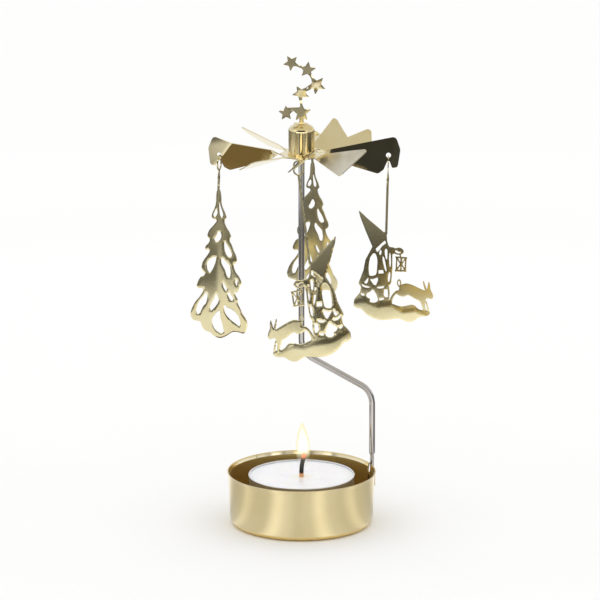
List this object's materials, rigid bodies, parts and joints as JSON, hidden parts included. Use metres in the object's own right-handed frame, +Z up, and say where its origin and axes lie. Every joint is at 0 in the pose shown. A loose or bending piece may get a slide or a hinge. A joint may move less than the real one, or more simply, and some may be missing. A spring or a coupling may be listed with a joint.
{
  "type": "rotary tealight carousel",
  "caption": "Tealight cup with a cranked wire stand; a vaned wheel turns on its needle point and carries stamped tree and gnome pendants under a star topper.",
  "frame": {"origin": "centre of the cup's flat underside, which is also the axis of the rotor", "axes": "+Z up along the rotor's axis, -Y towards the viewer of the picture, +X to the viewer's right"},
  "size_m": [0.0863, 0.069, 0.1712],
  "materials": {
    "cup_brass": "satin drawn sheet, clear lacquer",
    "hub_brass": "polished",
    "sheet_brass": "bright stamped sheet",
    "rod_steel": "drawn wire",
    "tin_steel": "tinned",
    "foil_aluminium": "thin drawn foil",
    "wax": "paraffin, slightly translucent",
    "wick_cotton": "braided cotton, charred"
  },
  "bodies": {
    "cup": {"candle_cup": "cup_brass"},
    "tealight": {"tealight_shell": "foil_aluminium", "tealight_wax": "wax", "wick_sustainer": "tin_steel", "wick": "wick_cotton"},
    "rod": {"support_rod": "rod_steel"},
    "rotor": {"vane_wheel": "sheet_brass", "hub_cap": "hub_brass", "pivot_cup": "tin_steel", "star_topper": "sheet_brass"},
    "tree_left": {"tree_pendant_left": "sheet_brass"},
    "tree_rear": {"tree_pendant_rear": "sheet_brass"},
    "gnome_front": {"gnome_pendant_front": "sheet_brass"},
    "gnome_right": {"gnome_pendant_right": "sheet_brass"}
  },
  "joints": [
    {"name": "tealight_lift", "type": "slide", "parent": "cup", "child": "tealight", "axis": [0, 0, 1], "range_m": [0, 0.022]},
    {"name": "rod_lift", "type": "slide", "parent": "cup", "child": "rod", "axis": [0, 0, 1], "range_m": [0, 0.006]},
    {"name": "rotor_spin", "type": "hinge", "parent": "rod", "child": "rotor", "pos_m": [0, 0, 0.1432], "axis": [0, 0, 1], "continuous": true},
    {"name": "tree_left_swing", "type": "hinge", "parent": "rotor", "child": "tree_left", "pos_m": [-0.02915, 0.0005, 0.13455], "axis": [0, 1, 0], "range_deg": [-8, 8]},
    {"name": "tree_rear_swing", "type": "hinge", "parent": "rotor", "child": "tree_rear", "pos_m": [0.00417, 0.03049, 0.1361], "axis": [0.9962, -0.0872, 0], "range_deg": [-8, 8]},
    {"name": "gnome_front_swing", "type": "hinge", "parent": "rotor", "child": "gnome_front", "pos_m": [-0.00071, -0.03029, 0.14029], "axis": [0.9997, 0.0262, 0], "range_deg": [-8, 8]},
    {"name": "gnome_right_swing", "type": "hinge", "parent": "rotor", "child": "gnome_right", "pos_m": [0.03075, -0.0005, 0.13455], "axis": [0, 1, 0], "range_deg": [-8, 8]}
  ]
}
